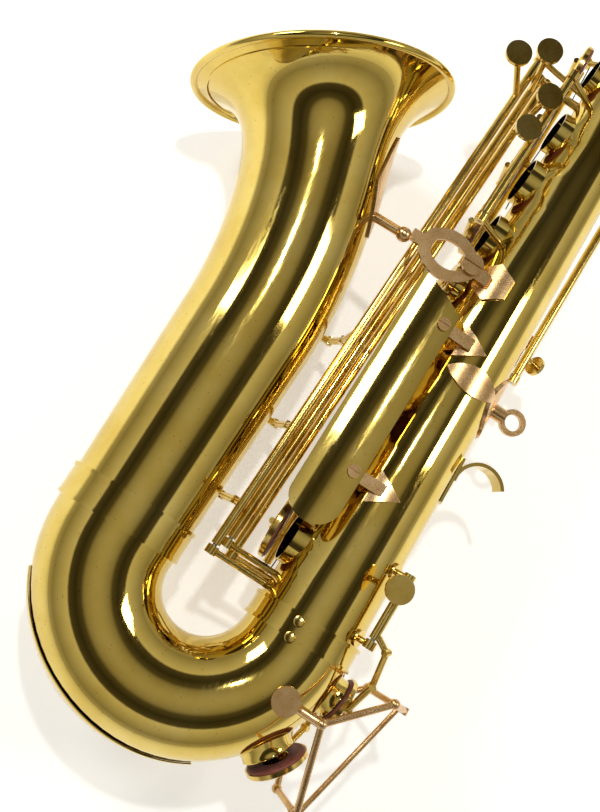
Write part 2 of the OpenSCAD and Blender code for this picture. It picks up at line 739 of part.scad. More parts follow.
module octave_lever() {
    p = OCTAVE_HINGE + [0, 0, OCTAVE_Z[0]];
    q = OCTAVE_HINGE + [0, 0, OCTAVE_Z[1]];
    color(LACQUER) on_hinge(p, q) {
        wire([p + [0, 0, 8], [40, -14, OCTAVE_Z[0] + 8], [40, 2, OCTAVE_Z[0] + 8]], arm_r);
        translate([38.5, 6, OCTAVE_Z[0] + 8]) rotate([0, 90, 0]) cylinder(h = 3, r = 9);
    }
}

// ---- Guard of the bow keys ----------------------------------------------------

module bow_key_guard() {
    out = body_r_low + BOW_CHIMNEY + 24;
    st = bow_station((EB_PHI + C_PHI) / 2);
    near = -34;
    color(WORN) {
        // Frame over the cups.
        wire([[64, near, 2], [78, -12, 2], [78, 12, 2], [64, -near, 2]], 2.2);
        wire([[46, near, -82], [56, -12, -86], [56, 12, -86], [46, -near, -82]], 2.2);
        strut([78, 0, 2], [56, 0, -86], 1.8);
        // Legs in a V to the oval feet on the bow.
        for (side = [-1, 1]) {
            wire([[64, side * -near, 2], [30, side * 41, -30], [46, side * -near, -82]], 2.2);
            difference() {
                union() {
                    strut([30, side * 41, -30], [0, side * 20, -30], 3);
                    translate([6, side * 20, -30]) rotate([-90 * side, 0, 0]) cylinder(h = 17, r = 9);
                }
                loft([for (i = [-1:9]) ring(bow_station(i * 9), SHELL_GAP)]);
            }
            for (p = [[64, side * -near, 2], [30, side * 41, -30], [46, side * -near, -82]])
                translate(p) rotate([20, 30, 0]) sphere(3.4);
        }
    }
}

// ---- Upper crook, receiver, neck ------------------------------------------------

CROOK_R1 = 34;
CROOK_R2 = 26;
crook_drop = 120;
crook_rise = 120;
crook_len = PI * CROOK_R1 + crook_drop + PI * CROOK_R2 + crook_rise;
function crook_r(s) = body_r_top - (body_r_top - crook_end_r) * s / crook_len;
neck_x = -2 * CROOK_R1 - 2 * CROOK_R2;
neck_z = body_len - crook_drop + crook_rise;
CROOK_STATIONS = concat(
    [for (i = [0:12]) let (a = 15 * i)
        [[-CROOK_R1 + CROOK_R1 * cos(a), 0, body_len + CROOK_R1 * sin(a)], [cos(a), 0, sin(a)],
         crook_r(PI * CROOK_R1 * i / 12)]],
    [for (i = [1:12]) let (a = 15 * i)
        [[-2 * CROOK_R1 - CROOK_R2 + CROOK_R2 * cos(a), 0, body_len - crook_drop - CROOK_R2 * sin(a)],
         [-cos(a), 0, sin(a)], crook_r(PI * CROOK_R1 + crook_drop + PI * CROOK_R2 * i / 12)]],
    [[[neck_x, 0, neck_z], [1, 0, 0], crook_end_r]]);

module upper_crook() {
    color(LACQUER) tube(concat(
        [for (i = [0:12]) CROOK_STATIONS[i]],
        [[[-2 * CROOK_R1, 0, body_len - crook_drop], [-1, 0, 0], crook_r(PI * CROOK_R1 + crook_drop)]],
        [for (i = [13:25]) CROOK_STATIONS[i]]), sides = 24);
}

RECEIVER_H = 34;
receiver_top = neck_z + 18;
tenon_gap = 0.05;
RECEIVER_SCREW_Z = 12;
module neck_receiver() {
    color(LACQUER) translate([neck_x, 0, receiver_top - RECEIVER_H]) difference() {
        union() {
            cylinder(h = RECEIVER_H, r = crook_end_r + 2.4);
            for (z = [0, RECEIVER_H - 3]) translate([0, 0, z]) cylinder(h = 3, r = crook_end_r + 3.4);
            // Clamp lugs and the lyre socket.
            translate([-crook_end_r - 12, -6, RECEIVER_H - 14]) cube([14, 12, 11]);
            translate([0, -crook_end_r - 6.5, 8]) cylinder(h = 14, r = lyre_r + 2);
            translate([-2, -crook_end_r - 6, 8]) cube([4, 6, 14]);
        }
        // The crook fills the lower part of the bore, the neck's tenon the upper.
        translate([0, 0, -1]) cylinder(h = RECEIVER_H - 17, r = crook_end_r + 0.15);
        translate([0, 0, RECEIVER_H - 18.5]) cylinder(h = 30, r = tenon_r + tenon_gap);
        // Slit of the clamp and its screw hole.
        translate([-crook_end_r - 14, -0.6, RECEIVER_H - 15]) cube([16, 1.2, 20]);
        translate([-crook_end_r - 7.5, -10, RECEIVER_H - 8.5]) rotate([-90, 0, 0]) cylinder(h = 20, r = 1.75 + rod_gap);
        translate([0, -crook_end_r - 6.5, 12]) cylinder(h = 14, r = lyre_r);
    }
}
lyre_r = 2.2;

module receiver_screw() {
    color(WORN) translate([neck_x - crook_end_r - 7.5, 0, receiver_top - 8.5]) rotate([90, 0, 0]) {
        translate([0, 0, -8]) cylinder(h = 15, r = 1.75);
        translate([0, 0, 6.3]) cylinder(h = 3, r = 3.6);
        translate([-6, -1, 9.3]) cube([12, 2, 7]);
    }
}

NECK_R = 38;
NECK_TURN = 80;
NECK_STRAIGHT = 62;
CORK_LEN = 34;
cork_t = 1.3;
neck_len = NECK_R * NECK_TURN * PI / 180 + NECK_STRAIGHT + CORK_LEN;
neck_base = receiver_top + 3;
function neck_tube_r(s) = tenon_r - (tenon_r - neck_end_r) * s / neck_len;
// Centre and normal of the neck at a distance along it.
function neck_station(s, grow = 0) = let (
        arc = NECK_R * NECK_TURN * PI / 180,
        a = min(s, arc) / NECK_R * 180 / PI,
        c = [neck_x + NECK_R * (1 - cos(a)), 0, neck_base + NECK_R * sin(a)],
        t = [sin(a), 0, cos(a)])
    [c + max(0, s - arc) * t, [cos(a), 0, -sin(a)], neck_tube_r(s) + grow];

module neck_tube() {
    color(LACQUER) {
        tube([for (i = [0:20]) neck_station(neck_len * i / 20)], sides = 24);
        translate([neck_x, 0, neck_base - 18]) pipe(18, tenon_r, tenon_r - tube_wall);
        translate([neck_x, 0, neck_base - 2.8]) pipe(3.3, tenon_r + 3, tenon_r - tube_wall - 0.3);
        // Posts of the neck's octave key.
        for (s = NECK_POSTS) let (st = neck_station(s), top = st[0] - st[1] * (st[2] + OCT_RISE)) difference() {
            union() {
                strut(st[0] - st[1] * (st[2] - 0.6), top, 1.9);
                translate(top) sphere(3);
            }
            translate(top - [0, 10, 0]) rotate([-90, 0, 0]) cylinder(h = 20, r = OCT_PIN_R + rod_gap);
        }
    }
}
NECK_POSTS = [62];
OCT_RISE = 6;
OCT_PIN_R = 1;

// The neck's octave key: it rocks on a cross pin and carries a small pad.
module neck_octave_key() {
    st = neck_station(NECK_POSTS[0]);
    pin = st[0] - st[1] * (st[2] + OCT_RISE);
    pip = neck_station(86);
    lift = pip[0] - pip[1] * (pip[2] + 3.2);
    loop_z = neck_base + 4;
    color(LACQUER) {
        translate(pin - [0, 4.8, 0]) rotate([-90, 0, 0]) cylinder(h = 9.6, r = OCT_PIN_R - 0.1);
        for (side = [-1, 1]) {
            translate(pin + [0, side * 3.3 - (side < 0 ? 1.7 : 0), 0]) rotate([-90, 0, 0]) cylinder(h = 1.7, r = 3);
            wire([pin + [0, side * 4.8, 0], [neck_x + 6, side * 22, neck_base + 36],
                  [neck_x, side * 22, loop_z]], 1.6);
            strut(pin + [0, side * 4.8, 0], lift + [0, 0, 3], 1.5);
        }
        translate([neck_x, 0, loop_z]) rotate([0, 0, 90]) rotate_extrude() translate([22, 0]) circle(1.6);
        aim(lift, -pip[1]) cylinder(h = 4, r = 4);
    }
}

module along_neck(s) {
    st = neck_station(s);
    aim(st[0], [-st[1][2], 0, st[1][0]]) children();
}

module neck_cork() {
    color("#c9a26b") along_neck(neck_len - CORK_LEN) difference() {
        cylinder(h = CORK_LEN, r = cork_r());
        translate([0, 0, -1]) cylinder(h = CORK_LEN + 2,
            r1 = neck_tube_r(neck_len - CORK_LEN - 1) + SHELL_GAP, r2 = neck_tube_r(neck_len + 1) + SHELL_GAP);
    }
}
function cork_r() = neck_tube_r(neck_len - CORK_LEN) + cork_t;

MOUTH_GRIP = 20;
MOUTH_WALL = 3.4;
function shank_r() = cork_r() + MOUTH_WALL;
module mouth_frame() {
    // +Z runs to the tip, +X points down to the reed side.
    along_neck(neck_len - MOUTH_GRIP) children();
}
module mouthpiece() {
    bore = 8;
    color("#16130f") mouth_frame() difference() {
        union() {
            cylinder(h = mouthpiece_len, r1 = shank_r(), r2 = shank_r() - 2);
            cylinder(h = 6, r = shank_r() + 1);
        }
        translate([0, 0, -1]) cylinder(h = MOUTH_GRIP + 2, r = cork_r() + 0.06);
        translate([0, 0, MOUTH_GRIP]) cylinder(h = mouthpiece_len * 0.45, r1 = bore, r2 = bore - 2);
        // Reed table, window and beak.
        translate([reed_x(), -20, 26]) cube([30, 40, mouthpiece_len]);
        translate([0, -5.5, mouthpiece_len * 0.6]) cube([30, 11, mouthpiece_len * 0.34]);
        translate([-shank_r() - 1, -20, mouthpiece_len * 0.55]) rotate([0, 26, 0])
            translate([-40, 0, 0]) cube([40, 40, 80]);
    }
}
function reed_x() = shank_r() - 4.4;

REED_T = 2.6;
module reed() {
    len = mouthpiece_len - 30;
    color("#d9b777") mouth_frame() translate([reed_x() + 0.05, 0, 29.5]) intersection() {
        rotate([90, 0, 0]) translate([0, 0, -8]) linear_extrude(16)
            polygon([[0, 0], [REED_T, 0], [REED_T, len * 0.5], [0.3, len], [0, len]]);
        translate([REED_T - 10, 0, -1]) cylinder(h = len + 2, r = 10.2);
    }
}

LIGATURE_H = 24;
module ligature() {
    color(LACQUER) mouth_frame() translate([0, 0, 30]) difference() {
        union() {
            cylinder(h = LIGATURE_H, r = shank_r() + 1.2);
            for (z = [5, 18]) translate([shank_r() - 1, -7, z]) rotate([-90, 0, 0]) cylinder(h = 14, r = 2.6);
            for (z = [5, 18]) translate([shank_r() - 1, 7, z]) rotate([-90, 0, 0]) cylinder(h = 5, r = 4);
        }
        translate([0, 0, -1]) cylinder(h = LIGATURE_H + 2, r = shank_r() + 0.1);
    }
}

// ---- The instrument, with its origin at the strap ring ----------------------------

module placed() {
    translate(-ORIGIN) children();
}

placed() body_tube();
placed() ferrules();
placed() bow();
placed() bow_guard();
placed() bell();
placed() bell_brace();
placed() brace_screw();
placed() cover_plate();
placed() cover_feet();
placed() cover_screws();
placed() strap_ring_bridge();
placed() thumb_hook();
placed() thumb_rest();
placed() posts();
placed() hinge_rods();
placed() bow_key_guard();
placed() upper_crook();
placed() neck_receiver();
placed() receiver_screw();
placed() low_stack(0, "key");  // low_d_key
placed() low_stack(0, "pad");  // low_d_pad
placed() low_stack(1, "key");  // e_key
placed() low_stack(1, "pad");  // e_pad
placed() low_stack(2, "key");  // f_key
placed() low_stack(2, "pad");  // f_pad
placed() low_stack(3, "key");  // f_sharp_key
placed() low_stack(3, "pad");  // f_sharp_pad
placed() high_stack(0, "key");  // g_sharp_key
placed() high_stack(0, "pad");  // g_sharp_pad
placed() high_stack(1, "key");  // g_key
placed() high_stack(1, "pad");  // g_pad
placed() high_stack(2, "key");  // a_key
placed() high_stack(2, "pad");  // a_pad
placed() high_stack(3, "key");  // b_key
placed() high_stack(3, "pad");  // b_pad
placed() high_stack(4, "key");  // c_key
placed() high_stack(4, "pad");  // c_pad
placed() bell_key(0, "key");  // low_cs_key
placed() bell_key(0, "pad");  // low_cs_pad
placed() bell_key(1, "key");  // low_b_key
placed() bell_key(1, "pad");  // low_b_pad
placed() bell_key(2, "key");  // low_bb_key
placed() bell_key(2, "pad");  // low_bb_pad
placed() bow_key(EB_PHI, 17, EB_HINGE, EB_Z, true, EB_ROUTE, "key");  // low_eb_key
placed() bow_key(EB_PHI, 17, EB_HINGE, EB_Z, true, EB_ROUTE, "pad");  // low_eb_pad
placed() bow_key(C_PHI, 20, C_HINGE, C_Z, false, C_ROUTE, "key");  // low_c_key
placed() bow_key(C_PHI, 20, C_HINGE, C_Z, false, C_ROUTE, "pad");  // low_c_pad
placed() g_sharp_lever();
placed() body_key(SIDE_KEYS[0], SIDE_REACH, [246, 14, 7]);  // side_bb_key
placed() body_key(SIDE_KEYS[1], SIDE_REACH, [262, 14, 7]);  // side_c_key
placed() body_key(PALM_KEYS[0], PALM_REACH, [560, 10, 8]);  // palm_d_key
placed() body_key(PALM_KEYS[1], PALM_REACH, [604, 10, 8]);  // palm_eb_key
placed() body_key(PALM_KEYS[2], PALM_REACH, [648, 10, 8]);  // palm_f_key
placed() octave_lever();
placed() neck_octave_key();
placed() neck_tube();
placed() neck_cork();
placed() mouthpiece();
placed() ligature();
placed() reed();
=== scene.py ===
"""Looks of a lacquered brass baritone saxophone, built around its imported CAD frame."""

from __future__ import annotations

import json
import logging
import math
from dataclasses import dataclass
from enum import Enum
from typing import Iterable, Sequence

import bmesh
import bpy
from mathutils import Matrix, Vector

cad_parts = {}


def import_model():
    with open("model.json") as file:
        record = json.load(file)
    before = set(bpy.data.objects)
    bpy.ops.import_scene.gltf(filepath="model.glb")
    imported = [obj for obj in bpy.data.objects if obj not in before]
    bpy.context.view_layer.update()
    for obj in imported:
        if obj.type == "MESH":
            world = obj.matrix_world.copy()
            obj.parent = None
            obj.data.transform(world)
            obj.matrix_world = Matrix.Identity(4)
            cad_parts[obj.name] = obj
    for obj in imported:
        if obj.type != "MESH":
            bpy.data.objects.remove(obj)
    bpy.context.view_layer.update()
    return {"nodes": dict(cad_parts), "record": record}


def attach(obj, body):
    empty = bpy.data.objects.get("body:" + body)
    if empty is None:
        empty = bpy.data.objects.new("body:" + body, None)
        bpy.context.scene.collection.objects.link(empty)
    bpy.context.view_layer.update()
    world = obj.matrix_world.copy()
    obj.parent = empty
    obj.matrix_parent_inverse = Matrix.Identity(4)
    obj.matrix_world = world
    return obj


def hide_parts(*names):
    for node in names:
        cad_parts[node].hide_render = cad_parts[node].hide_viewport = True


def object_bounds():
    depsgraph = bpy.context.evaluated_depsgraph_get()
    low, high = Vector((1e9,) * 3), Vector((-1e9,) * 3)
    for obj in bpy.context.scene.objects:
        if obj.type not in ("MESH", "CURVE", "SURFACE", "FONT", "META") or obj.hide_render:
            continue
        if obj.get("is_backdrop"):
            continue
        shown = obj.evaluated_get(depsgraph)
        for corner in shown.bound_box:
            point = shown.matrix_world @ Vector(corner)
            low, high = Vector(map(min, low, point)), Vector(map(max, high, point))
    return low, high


log = logging.getLogger("saxophone")

MM = 0.001
# The strap ring, where the CAD frame has its origin, in the body tube's own coordinates.
RING = Vector((48.0, 0.0, 196.0))


def at(x: float, y: float, z: float) -> Vector:
    """Turn body coordinates into frame metres.

    Args:
        x: Millimetres from the body tube's axis, positive toward the player.
        y: Millimetres from the axis, negative on the left-hand side.
        z: Millimetres above the bow.

    Returns:
        The same point in the frame.
    """
    return (Vector((x, y, z)) - RING) * MM


def linear(code: str) -> tuple[float, float, float, float]:
    """Turn an sRGB hex colour into a linear RGBA tuple.

    Args:
        code: Colour such as "#D9C36A".

    Returns:
        Linear red, green, blue and an alpha of 1.
    """
    raw = [int(code[i:i + 2], 16) / 255 for i in (1, 3, 5)]
    r, g, b = [c / 12.92 if c <= 0.04045 else ((c + 0.055) / 1.055) ** 2.4 for c in raw]
    return (r, g, b, 1.0)


def add_node(tree: bpy.types.NodeTree, kind: str, links: dict | None = None, **settings) -> bpy.types.Node:
    """Add a shader node with its settings and incoming links.

    Args:
        tree: The node tree.
        kind: The node's type name.
        links: Input name or index to an output socket, or to a plain value.
        settings: Attributes of the node.

    Returns:
        The new node.
    """
    node = tree.nodes.new(kind)
    for name, value in settings.items():
        setattr(node, name, value)
    for key, value in (links or {}).items():
        socket = node.inputs[key]
        if isinstance(value, bpy.types.NodeSocket):
            tree.links.new(value, socket)
        else:
            socket.default_value = value
    return node


def ramp(tree: bpy.types.NodeTree, fac: bpy.types.NodeSocket, stops: Sequence[tuple[float, str]]) -> bpy.types.NodeSocket:
    """Add a colour ramp.

    Args:
        tree: The node tree.
        fac: The value that drives the ramp.
        stops: Positions with their sRGB hex colours.

    Returns:
        The ramp's colour output.
    """
    node = add_node(tree, "ShaderNodeValToRGB", {"Fac": fac})
    for i, (place, colour) in enumerate(stops):
        stop = node.color_ramp.elements[i] if i < 2 else node.color_ramp.elements.new(place)
        stop.position = place
        stop.color = linear(colour)
    return node.outputs["Color"]


class Slot(Enum):
    """Material slots of the record."""

    LACQUER = "lacquered_brass"
    KEY = "key_brass"
    WORN = "worn_brass"
    STEEL = "steel"
    LEATHER = "leather_pad"
    CORK = "cork"
    EBONITE = "ebonite"
    PLASTIC = "black_plastic"
    CANE = "cane"


@dataclass(frozen=True)
class Finish:
    """A finish whose colour wanders between stops, with a grain bump and small marks.

    Attributes:
        name: The material's name.
        stops: Places and sRGB colours of the slow colour change.
        metallic: 1 for bare metal.
        roughness: Least and most roughness.
        patch: Size of the slow colour change in millimetres.
        grain: Size of the fine grain in millimetres.
        bump: Strength of the grain's bump.
        stretch: Scale of the grain along each axis.
        coat: Weight of a clear coat.
        sheen: Weight of a cloth's sheen.
        specks: Colour of the small marks, 4.5 mm apart, if there are any.
    """

    name: str
    stops: tuple[tuple[float, str], ...]
    metallic: float = 0.0
    roughness: tuple[float, float] = (0.3, 0.5)
    patch: float = 25.0
    grain: float = 0.6
    bump: float = 0.05
    stretch: tuple[float, float, float] = (1.0, 1.0, 1.0)
    coat: float = 0.0
    sheen: float = 0.0
    specks: str | None = None

    def material(self) -> bpy.types.Material:
        """Build the finish once and return it."""
        known = bpy.data.materials.get(self.name)
        if known:
            return known
        mat = bpy.data.materials.new(self.name)
        mat.use_nodes = True
        tree = mat.node_tree
        tree.nodes.clear()
        place = add_node(tree, "ShaderNodeTexCoord").outputs["Object"]
        slow = add_node(tree, "ShaderNodeTexNoise",
                        {"Vector": place, "Scale": 1 / (self.patch * MM), "Detail": 5.0, "Roughness": 0.62})
        scaled = add_node(tree, "ShaderNodeMapping", {"Vector": place, "Scale": self.stretch})
        fine = add_node(tree, "ShaderNodeTexNoise", {
            "Vector": scaled.outputs["Vector"], "Scale": 1 / (self.grain * MM), "Detail": 4.0, "Roughness": 0.6})
        colour = ramp(tree, slow.outputs["Fac"], self.stops)
        if self.specks:
            cells = add_node(tree, "ShaderNodeTexVoronoi", {"Vector": place, "Scale": 1 / (4.5 * MM)})
            spot = add_node(tree, "ShaderNodeMapRange", {
                "Value": cells.outputs["Distance"], "From Min": 0.06, "From Max": 0.1, "To Min": 0.75, "To Max": 0.0})
            mix = add_node(tree, "ShaderNodeMix", {
                "Factor": spot.outputs["Result"], "A": colour, "B": linear(self.specks)}, data_type="RGBA")
            colour = mix.outputs["Result"]
        rough = add_node(tree, "ShaderNodeMapRange", {
            "Value": fine.outputs["Fac"], "From Min": 0.3, "From Max": 0.7,
            "To Min": self.roughness[0], "To Max": self.roughness[1]})
        bump = add_node(tree, "ShaderNodeBump", {
            "Height": fine.outputs["Fac"], "Strength": self.bump, "Distance": self.grain * MM * 0.5})
        shader = add_node(tree, "ShaderNodeBsdfPrincipled", {
            "Base Color": colour, "Metallic": self.metallic, "Roughness": rough.outputs["Result"],
            "Coat Weight": self.coat, "Coat Roughness": 0.06, "Sheen Weight": self.sheen,
            "Normal": bump.outputs["Normal"]})
        add_node(tree, "ShaderNodeOutputMaterial", {"Surface": shader.outputs["BSDF"]})
        return mat


# Lacquered brass: glossy polished yellow brass, with small dull marks and faint streaks in its gloss.
LACQUER = Finish("polished_brass_under_lacquer", ((0.25, "#CFB052"), (0.5, "#D9BE64"), (0.75, "#E2CB7A")), metallic=1.0,
                 roughness=(0.035, 0.09), patch=38.0, grain=1.2, bump=0.0, stretch=(1.0, 1.0, 0.12),
                 specks="#8A6A2A")
# Key brass: the same brass, handled more, so a little paler and less even.
KEY_BRASS = Finish("handled_key_brass", ((0.25, "#C39C42"), (0.5, "#DDBF6A"), (0.78, "#EAD28C")), metallic=1.0,
                   roughness=(0.10, 0.22), patch=14.0, grain=0.7, bump=0.015, specks="#8C6D35")
# Worn brass: lacquer gone, rosy where hands have taken the zinc out of the surface.
WORN = Finish("bare_worn_brass", ((0.25, "#C29A68"), (0.5, "#D8B27E"), (0.75, "#E6C79A")), metallic=1.0,
              roughness=(0.18, 0.34), patch=9.0, grain=0.5, bump=0.05, specks="#8E6A4B")
# Steel rod: ground and lightly oiled.
STEEL = Finish("ground_steel", ((0.3, "#8D8C88"), (0.7, "#C4C2BC")), metallic=1.0, roughness=(0.18, 0.34),
               patch=6.0, grain=0.4, stretch=(1.0, 1.0, 0.1))
# Blued needle spring steel.
SPRING = Finish("blued_spring_steel", ((0.3, "#3A4352"), (0.7, "#6B7482")), metallic=1.0, roughness=(0.22, 0.32))
# Kid leather over felt: waxed, brown, with faint creases.
LEATHER = Finish("waxed_kid_leather", ((0.25, "#5E2C25"), (0.55, "#7E3F33"), (0.8, "#9A5442")),
                 roughness=(0.42, 0.62), patch=7.0, grain=0.45, bump=0.5, sheen=0.1)
FELT = Finish("woven_red_felt", ((0.3, "#A5402C"), (0.7, "#CB6442")), roughness=(0.85, 0.97), patch=2.0,
              grain=0.3, bump=0.8, sheen=0.5)
CORK = Finish("natural_cork", ((0.3, "#8D6238"), (0.5, "#BE935C"), (0.75, "#D8B27A")), roughness=(0.7, 0.9),
              patch=2.2, grain=0.5, bump=0.6, specks="#6B4423")
EBONITE = Finish("polished_ebonite", ((0.3, "#100E0C"), (0.7, "#1E1A16")), roughness=(0.10, 0.2), patch=20.0,
                 grain=0.4, bump=0.02, coat=0.5)
PLASTIC = Finish("satin_black_plastic", ((0.3, "#1B1918"), (0.7, "#2A2725")), roughness=(0.3, 0.42), patch=8.0)
CANE = Finish("bare_cane", ((0.3, "#C9A862"), (0.6, "#DDBF7D"), (0.8, "#E8D09A")), roughness=(0.5, 0.7),
              patch=3.0, grain=0.35, bump=0.3, stretch=(1.0, 1.0, 0.08))
PEARL = Finish("mother_of_pearl", ((0.25, "#D8D4CC"), (0.5, "#F0ECE2"), (0.75, "#DCE4E4")), roughness=(0.12, 0.2),
               patch=4.0, grain=1.2, bump=0.05, coat=0.6)
LOOKS = {Slot.LACQUER: LACQUER, Slot.KEY: KEY_BRASS, Slot.WORN: WORN, Slot.STEEL: STEEL, Slot.LEATHER: LEATHER,
         Slot.CORK: CORK, Slot.EBONITE: EBONITE, Slot.PLASTIC: PLASTIC, Slot.CANE: CANE}


def finish_piece(name: str, bm: bmesh.types.BMesh, look: Finish, body: str,
                 sharp: float = 40.0) -> bpy.types.Object:
    """Turn a bmesh into a piece that rides on a body.

    Args:
        name: The piece's name.
        bm: The shape, in frame metres; it is freed.
        look: Its finish.
        body: The CAD body that it rides on.
        sharp: Edges steeper than this angle in degrees stay crisp.

    Returns:
        The new object.
    """
    bmesh.ops.remove_doubles(bm, verts=bm.verts, dist=1e-6)
    bmesh.ops.recalc_face_normals(bm, faces=bm.faces)
    mesh = bpy.data.meshes.new(name)
    bm.to_mesh(mesh)
    bm.free()
    mesh.polygons.foreach_set("use_smooth", [True] * len(mesh.polygons))
    mesh.set_sharp_from_angle(angle=math.radians(sharp))
    mesh.materials.append(look.material())
    piece = bpy.data.objects.new(name, mesh)
    bpy.context.scene.collection.objects.link(piece)
    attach(piece, body)
    return piece


def facing(origin: Vector, axis: Vector) -> Matrix:
    """Return a matrix that puts +Z along an axis.

    Args:
        origin: Where it stands, in frame metres.
        axis: The direction that +Z turns to.

    Returns:
        The placing matrix.
    """
    return Matrix.Translation(origin) @ axis.to_track_quat("Z", "Y").to_matrix().to_4x4()


def lathe(bm: bmesh.types.BMesh, outline: Sequence[tuple[float, float]], place: Matrix, steps: int = 48) -> None:
    """Spin an outline round +Z and put it in place.

    Args:
        bm: The bmesh to add to.
        outline: Radius and height pairs in millimetres.
        place: Where the spun shape goes.
        steps: Segments of the turn.
    """
    verts = [bm.verts.new((r * MM, 0.0, z * MM)) for r, z in outline]
    edges = [bm.edges.new(pair) for pair in zip(verts, verts[1:])]
    bmesh.ops.spin(bm, geom=verts + edges, cent=(0, 0, 0), axis=(0, 0, 1), angle=math.tau, steps=steps,
                   use_merge=True)
    reach = set(verts)
    grow = list(reach)
    while grow:
        v = grow.pop()
        for e in v.link_edges:
            o = e.other_vert(v)
            if o not in reach:
                reach.add(o)
                grow.append(o)
    bmesh.ops.remove_doubles(bm, verts=list(reach), dist=1e-7)
    left = [v for v in reach if v.is_valid]
    bmesh.ops.transform(bm, matrix=place, verts=left)


def bar(bm: bmesh.types.BMesh, a: Vector, b: Vector, r: float, sides: int = 16) -> None:
    """Add a round bar between two points.

    Args:
        bm: The bmesh to add to.
        a: One end, in frame metres.
        b: The other end.
        r: Radius in millimetres.
        sides: Points round the bar.
    """
    length = (b - a).length
    place = facing((a + b) / 2, b - a)
    bmesh.ops.create_cone(bm, cap_ends=True, segments=sides, radius1=r * MM, radius2=r * MM, depth=length,
                          matrix=place)


@dataclass
class Station:
    """A round cross-section of a tube: centre and radius in body millimetres, and lean of its plane."""

    centre: tuple[float, float, float]
    lean: float
    radius: float

    def matrix(self) -> Matrix:
        """Return the matrix of a unit circle in this place; lean turns it about +Y."""
        turn = Matrix.Rotation(math.radians(self.lean), 4, "Y")
        return Matrix.Translation(at(*self.centre)) @ turn @ Matrix.Diagonal((*[self.radius * MM] * 3, 1))


def sweep(bm: bmesh.types.BMesh, stations: Sequence[Station], sides: int = 96,
          wall: float = 1.0) -> None:
    """Run a round tube with a wall through stations, by extruding a circle from each to the next.

    Args:
        bm: The bmesh to add to.
        stations: The cross-sections, in order.
        sides: Points round the tube.
        wall: Thickness in millimetres, inwards.
    """
    outside = [s.matrix() for s in stations]
    inside = [Station(s.centre, s.lean, s.radius - wall).matrix() for s in reversed(stations)]
    path = outside + inside + outside[:1]
    ring = bmesh.ops.create_circle(bm, segments=sides, radius=1.0)["verts"]
    edges = list({e for v in ring for e in v.link_edges})
    bmesh.ops.transform(bm, matrix=path[0], verts=ring)
    for here, there in zip(path, path[1:]):
        grown = bmesh.ops.extrude_edge_only(bm, edges=edges)["geom"]
        ring = [g for g in grown if isinstance(g, bmesh.types.BMVert)]
        edges = [g for g in grown if isinstance(g, bmesh.types.BMEdge)]
        bmesh.ops.transform(bm, matrix=there @ here.inverted(), verts=ring)
    bmesh.ops.remove_doubles(bm, verts=bm.verts, dist=2e-6)


@dataclass
class Layout:
    """Driving sizes of the instrument, the same as in the CAD source (millimetres, degrees)."""

    body_len: float = 750.0
    body_low: float = 35.5
    body_top: float = 16.0
    chimney: float = 4.0
    bow_radius: float = 65.5
    bell_low: float = 40.5
    bell_straight: float = 150.0
    bell_lean_radius: float = 324.0
    bell_lean: float = 30.0
    bell_rim: float = 84.0
    rim_wire: float = 2.5
    bell_taper: float = 0.0225
    flare_length: float = 15.0
    stack_open: float = 12.0
    bell_open: float = 6.0
    small_open: float = 9.0
    pad_gap: float = 0.3
    pad_t: float = 4.2
    side_chimney: float = 5.0

    @property
    def bell_len(self) -> float:
        """Length of the bell along its centre line."""
        return self.bell_straight + self.bell_lean_radius * math.radians(self.bell_lean)

    def body_r(self, z: float) -> float:
        """Outer radius of the body tube at a height."""
        return self.body_low + (self.body_top - self.body_low) * z / self.body_len

    def bow(self, phi: float) -> Station:
        """Return the bow's cross-section.

        Args:
            phi: Degrees round the bow from the body's side.

        Returns:
            The section.
        """
        a = math.radians(phi)
        centre = (self.bow_radius * (math.cos(a) - 1), 0.0, -self.bow_radius * math.sin(a))
        return Station(centre, phi, self.body_low + (self.bell_low - self.body_low) * phi / 180)

    def bell(self, s: float) -> Station:
        """Return the bell's cross-section.

        Args:
            s: Millimetres along the bell from the bow.

        Returns:
            The section.
        """
        a = max(0.0, s - self.bell_straight) / self.bell_lean_radius
        x = -2 * self.bow_radius - self.bell_lean_radius * (1 - math.cos(a))
        z = s if a == 0 else self.bell_straight + self.bell_lean_radius * math.sin(a)
        flare = self.bell_rim - self.bell_low - self.bell_taper * self.bell_len
        r = self.bell_low + self.bell_taper * s + flare * math.exp((s - self.bell_len) / self.flare_length)
        return Station((x, 0.0, z), -math.degrees(a), r)


LAYOUT = Layout()


